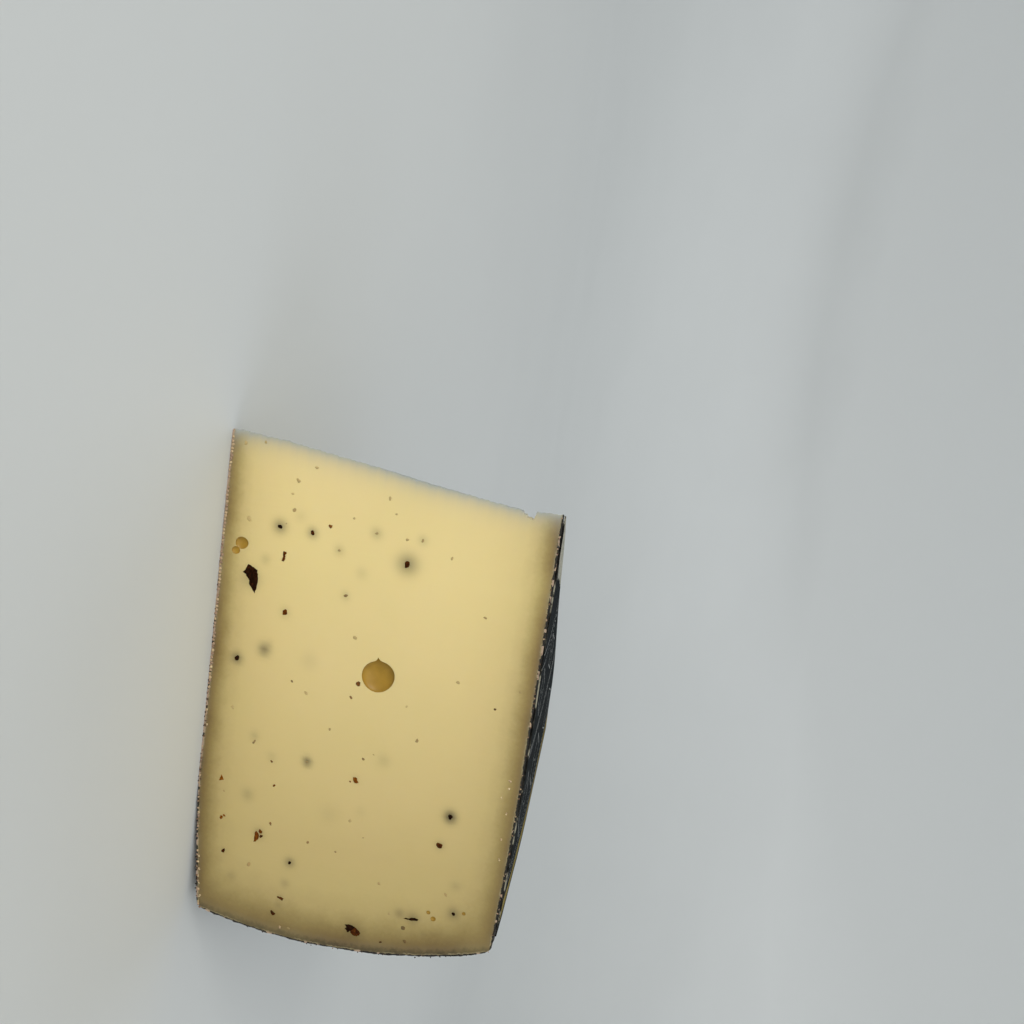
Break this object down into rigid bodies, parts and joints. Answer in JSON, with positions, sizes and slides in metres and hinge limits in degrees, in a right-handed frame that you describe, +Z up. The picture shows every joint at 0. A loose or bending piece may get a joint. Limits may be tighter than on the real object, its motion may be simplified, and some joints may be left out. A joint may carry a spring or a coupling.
{
  "type": "truffle cheese wedge",
  "caption": "Cut wedge of semi-soft truffle cheese with a dark rind, gas eyes, truffle specks and a paper label on top.",
  "frame": {"origin": "on the floor, under the middle of the wedge's box as it stands on the wheel's flat underside", "axes": "+Z up along the wheel's axis, +X from the tip to the rind along the shown cut face, -Y out of the shown cut face"},
  "size_m": [0.126, 0.083, 0.0807],
  "materials": {
    "cheese_paste": "smooth moist cut cheese paste with truffle specks, dark waxy rind",
    "label_paper": "matt fibrous printed paper, charcoal"
  },
  "bodies": {
    "root": {"cheese_wedge": "cheese_paste", "paper_label": "label_paper"}
  },
  "joints": []
}
